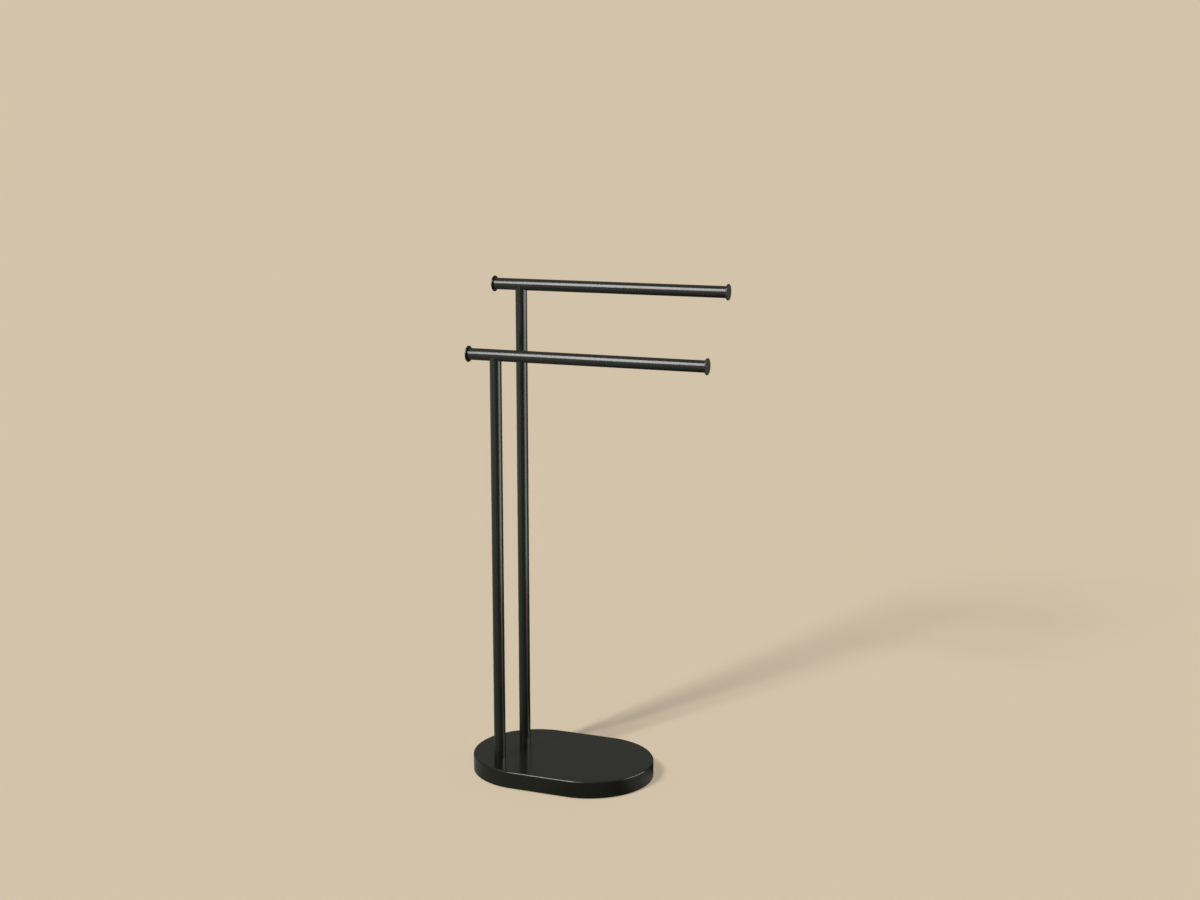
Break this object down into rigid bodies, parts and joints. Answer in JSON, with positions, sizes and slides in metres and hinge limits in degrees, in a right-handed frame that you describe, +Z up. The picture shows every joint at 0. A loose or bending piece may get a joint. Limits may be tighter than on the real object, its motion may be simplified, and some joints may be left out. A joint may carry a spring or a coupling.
{
  "type": "freestanding towel stand",
  "caption": "Low stadium-shaped weighted base with slim upright posts near one end, each carrying a round towel bar that reaches out to the side at its own height.",
  "frame": {"origin": "on the floor under the middle of the stadium-shaped base, at the underside of the anti-slip pad", "axes": "+Z up along the posts; +X along the bars towards their long reach; +Y from the front post, which carries the lower bar, to the rear post, which carries the upper bar"},
  "size_m": [0.438, 0.222, 0.8637],
  "materials": {
    "black_coat": "satin black powder coat on steel",
    "zinc_steel": "zinc-plated steel",
    "black_steel": "black oxide steel",
    "cement": "cast cement, rough",
    "pad_rubber": "fine-grained matte black rubber sheet"
  },
  "bodies": {
    "root": {"base_cover": "black_coat", "cover_lugs": "zinc_steel", "front_mount_disc": "zinc_steel", "rear_mount_disc": "zinc_steel", "ballast_block": "cement", "bottom_plate": "zinc_steel", "bottom_plate_screws": "black_steel", "anti_slip_pad": "pad_rubber", "front_post": "black_coat", "rear_post": "black_coat", "front_foot_insert": "zinc_steel", "rear_foot_insert": "zinc_steel", "front_post_bolt": "black_steel", "rear_post_bolt": "black_steel", "front_bolt_washer": "zinc_steel", "rear_bolt_washer": "zinc_steel", "front_bolt_spring_washer": "zinc_steel", "rear_bolt_spring_washer": "zinc_steel", "front_top_plug": "zinc_steel", "rear_top_plug": "zinc_steel", "front_joint_screw": "black_steel", "rear_joint_screw": "black_steel", "lower_bar": "black_coat", "upper_bar": "black_coat", "lower_bar_saddle_nut": "zinc_steel", "upper_bar_saddle_nut": "zinc_steel", "lower_bar_left_cap": "black_coat", "lower_bar_right_cap": "black_coat", "upper_bar_left_cap": "black_coat", "upper_bar_right_cap": "black_coat"}
  },
  "joints": []
}
